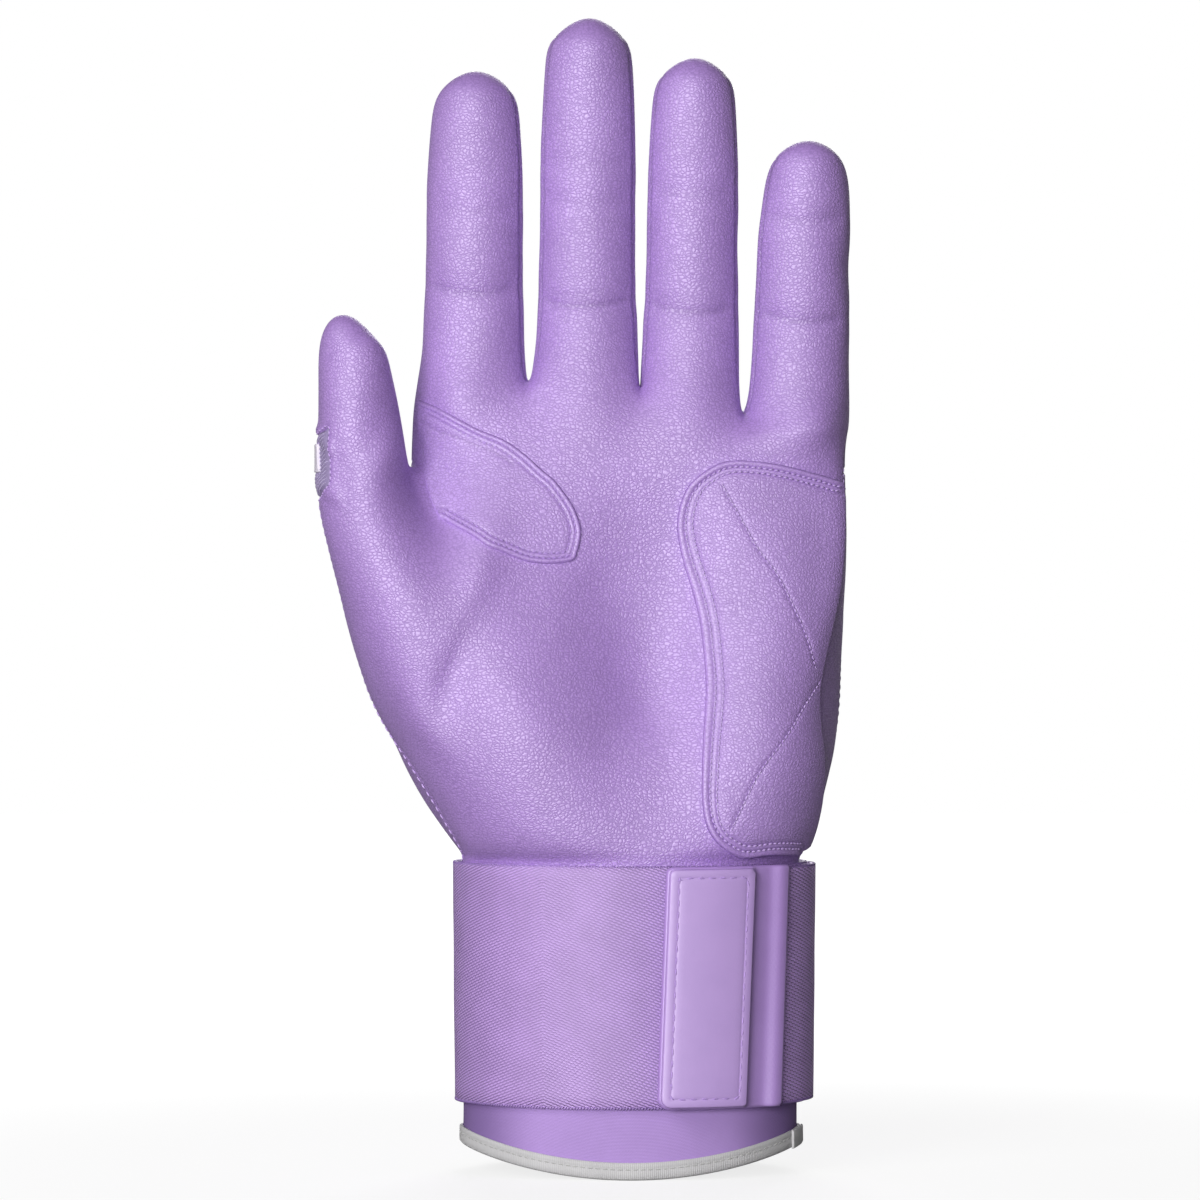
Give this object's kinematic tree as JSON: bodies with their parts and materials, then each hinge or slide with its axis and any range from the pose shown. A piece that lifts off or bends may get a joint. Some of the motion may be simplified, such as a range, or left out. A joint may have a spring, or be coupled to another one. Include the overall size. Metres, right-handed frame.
{
  "type": "batting glove",
  "caption": "Left-hand leather batting glove with a long cuff, a heel pad, a thumb web patch, ribbed inserts and a wide wrist band with a hook-and-loop strap.",
  "frame": {"origin": "middle of the wrist opening, level with the lowest point of the cuff's bound edge", "axes": "+Z from the cuff to the fingertips, +Y out of the back of the hand, the palm faces -Y, and +X points to the little finger's side"},
  "size_m": [0.1151, 0.0587, 0.2477],
  "materials": {
    "palm_leather": "fine pebbled grain, satin",
    "back_leather": "fine pebbled grain, satin",
    "ribbed_stretch": "ribbed stretch fabric",
    "woven_elastic": "woven elastic webbing",
    "sleeve": "smooth knit, matte",
    "binding_tape": "woven tape, matte",
    "moulded_rubber": "satin moulded rubber",
    "hook_and_loop": "hook-and-loop pile",
    "tag": "plain soft plastic"
  },
  "bodies": {
    "glove": {"palm_leather": "palm_leather", "back_leather": "back_leather", "index_back": "back_leather", "middle_back": "back_leather", "ring_back": "back_leather", "little_back": "back_leather", "side_panel": "back_leather", "thumb_back": "back_leather", "knuckle_flex": "ribbed_stretch", "thumb_flex": "ribbed_stretch", "fourchette_index_middle": "back_leather", "fourchette_middle_ring": "back_leather", "fourchette_ring_little": "back_leather", "heel_pad": "palm_leather", "thumb_web_patch": "palm_leather", "thumb_tag": "tag", "cuff_sleeve": "sleeve", "cuff_binding": "binding_tape", "wrist_band": "woven_elastic", "loop_patch": "hook_and_loop"},
    "strap": {"strap_elastic": "woven_elastic"},
    "tab": {"strap_end": "palm_leather", "hook_patch": "hook_and_loop", "pull_patch": "moulded_rubber"}
  },
  "joints": [
    {"name": "strap_swing", "type": "hinge", "parent": "glove", "child": "strap", "pos_m": [0.01852, 0.02477, 0.0406], "axis": [0, 0, 1], "range_deg": [0, 120]},
    {"name": "tab_peel", "type": "hinge", "parent": "strap", "child": "tab", "pos_m": [0.03343, -0.01731, 0.0406], "axis": [0, 0, 1], "range_deg": [0, 120]}
  ]
}
